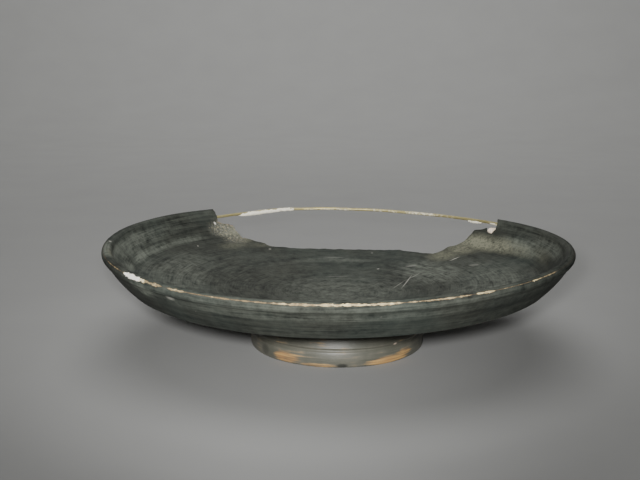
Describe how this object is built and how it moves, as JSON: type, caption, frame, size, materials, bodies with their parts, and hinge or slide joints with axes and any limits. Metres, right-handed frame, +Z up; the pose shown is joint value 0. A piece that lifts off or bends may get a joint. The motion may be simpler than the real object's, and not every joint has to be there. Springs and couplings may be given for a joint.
{
  "type": "plate",
  "caption": "Black-gloss pottery plate on a moulded ring foot, with a piece of rim and floor broken out and bridged by a thin brass wire with old plaster.",
  "frame": {"origin": "centre of the plate's turning axis on the plane that the foot rests on", "axes": "+Z up along the turning axis; +Y from the near, unbroken lip towards the break; +X to the right of someone who looks along +Y"},
  "size_m": [0.221, 0.2185, 0.0521],
  "materials": {
    "black_gloss_clay": "worn semi-matt black gloss over fired clay",
    "old_brass": "dull, tarnished",
    "old_plaster": "matt, crumbly"
  },
  "bodies": {
    "root": {"plate": "black_gloss_clay", "bridging_wire": "old_brass", "plaster_crust_left": "old_plaster", "plaster_crust_right": "old_plaster", "plaster_lump": "old_plaster"}
  },
  "joints": []
}
